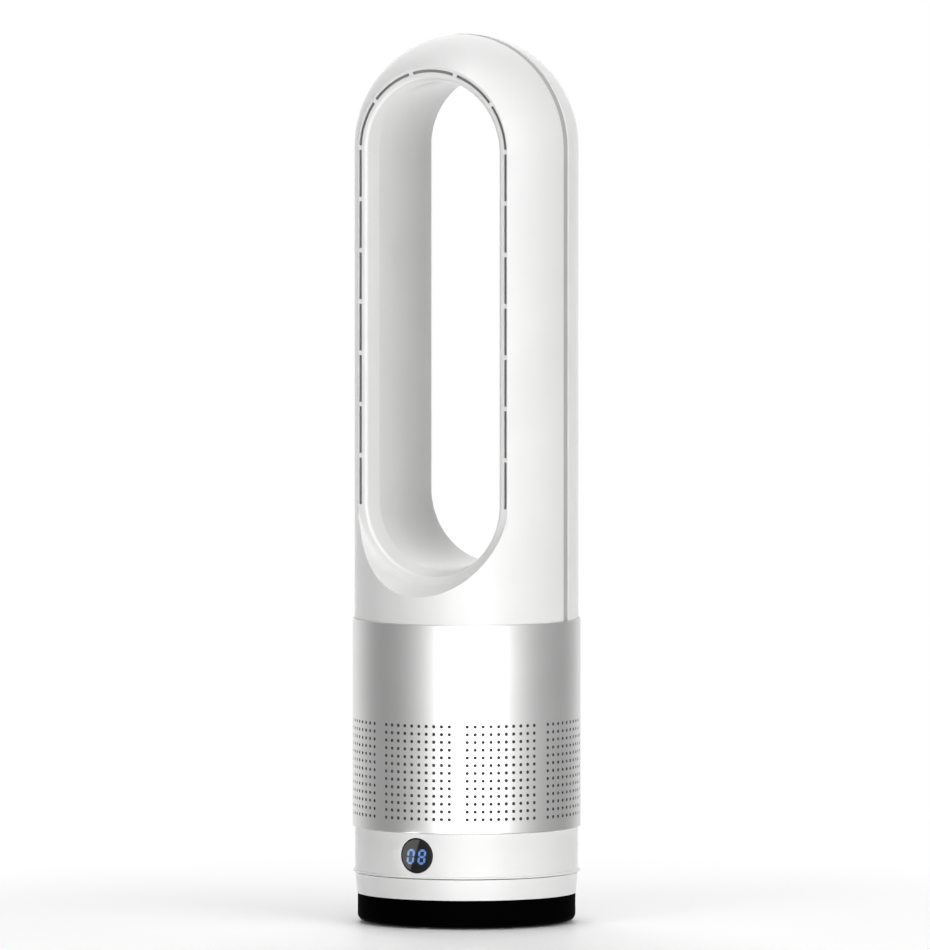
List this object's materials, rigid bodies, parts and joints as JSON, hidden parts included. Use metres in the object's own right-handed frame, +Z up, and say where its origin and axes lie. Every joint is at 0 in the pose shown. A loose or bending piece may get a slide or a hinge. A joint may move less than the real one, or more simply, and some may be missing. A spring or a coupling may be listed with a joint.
{
  "type": "bladeless fan",
  "caption": "Tall bladeless fan: a loop nozzle with air slots on a perforated intake sleeve, with a lit round display, swinging on a fixed round base.",
  "frame": {"origin": "on the floor at the middle of the round foot", "axes": "+Z up along the column, front with the display and the air slots toward -Y"},
  "size_m": [0.2064, 0.2064, 0.805],
  "materials": {
    "white_shell": "smooth white moulding, soft gloss",
    "button_white": "smooth white moulding, soft gloss",
    "black_foot": "black moulding, satin",
    "silver_sleeve": "fine satin silver",
    "smoked_window": "dark smoked lens, polished",
    "module_black": "black display module",
    "circuit_board": "green board, satin mask",
    "inner_plastic": "dark grey moulding, matt",
    "natural_plastic": "natural bearing plastic, matt",
    "feet_rubber": "dark rubber, matt",
    "gland_rubber": "black rubber, matt",
    "damper_rubber": "dark rubber, matt",
    "steel": "plain steel",
    "motor_steel": "plated motor can"
  },
  "bodies": {
    "base": {"foot_shell": "black_foot", "rubber_feet": "feet_rubber", "ballast_plate": "steel", "base_cover": "white_shell", "glide_blocks": "natural_plastic", "cord_gland": "gland_rubber", "swing_motor": "motor_steel", "post_clip": "steel"},
    "pinion": {"swing_shaft": "steel", "swing_pinion": "natural_plastic"},
    "column": {"turntable": "inner_plastic", "gear_sector": "natural_plastic", "control_ring": "white_shell", "display_lens": "smoked_window", "display_module": "module_black", "display_board": "circuit_board", "control_board": "circuit_board", "switch_board": "circuit_board", "intake_frame": "inner_plastic", "intake_sleeve": "silver_sleeve", "impeller_housing": "inner_plastic", "diffuser": "inner_plastic", "fan_motor": "motor_steel", "motor_dampers": "damper_rubber", "hub_cap": "inner_plastic", "nozzle_front_shell": "white_shell", "loop_liner": "white_shell", "nozzle_rear_shell": "white_shell"},
    "rotor": {"impeller": "inner_plastic", "rotor_shaft": "steel", "rotor_nut": "steel"},
    "button": {"power_button": "button_white"}
  },
  "joints": [
    {"name": "oscillation", "type": "hinge", "parent": "base", "child": "column", "pos_m": [0, 0, 0.05], "axis": [0, 0, 1], "range_deg": [-40, 40]},
    {"name": "pinion_spin", "type": "hinge", "parent": "base", "child": "pinion", "pos_m": [0, 0.06, 0.05], "axis": [0, 0, 1], "range_deg": [-165, 165]},
    {"name": "impeller_spin", "type": "hinge", "parent": "column", "child": "rotor", "pos_m": [0, 0, 0.21], "axis": [0, 0, 1], "continuous": true},
    {"name": "power_button_press", "type": "slide", "parent": "column", "child": "button", "axis": [0, -1, 0], "range_m": [0, 0.0012], "stiffness_N_per_m": 800}
  ],
  "couplings": [
    {"joint": "pinion_spin", "follows": "oscillation", "ratio": -4}
  ]
}
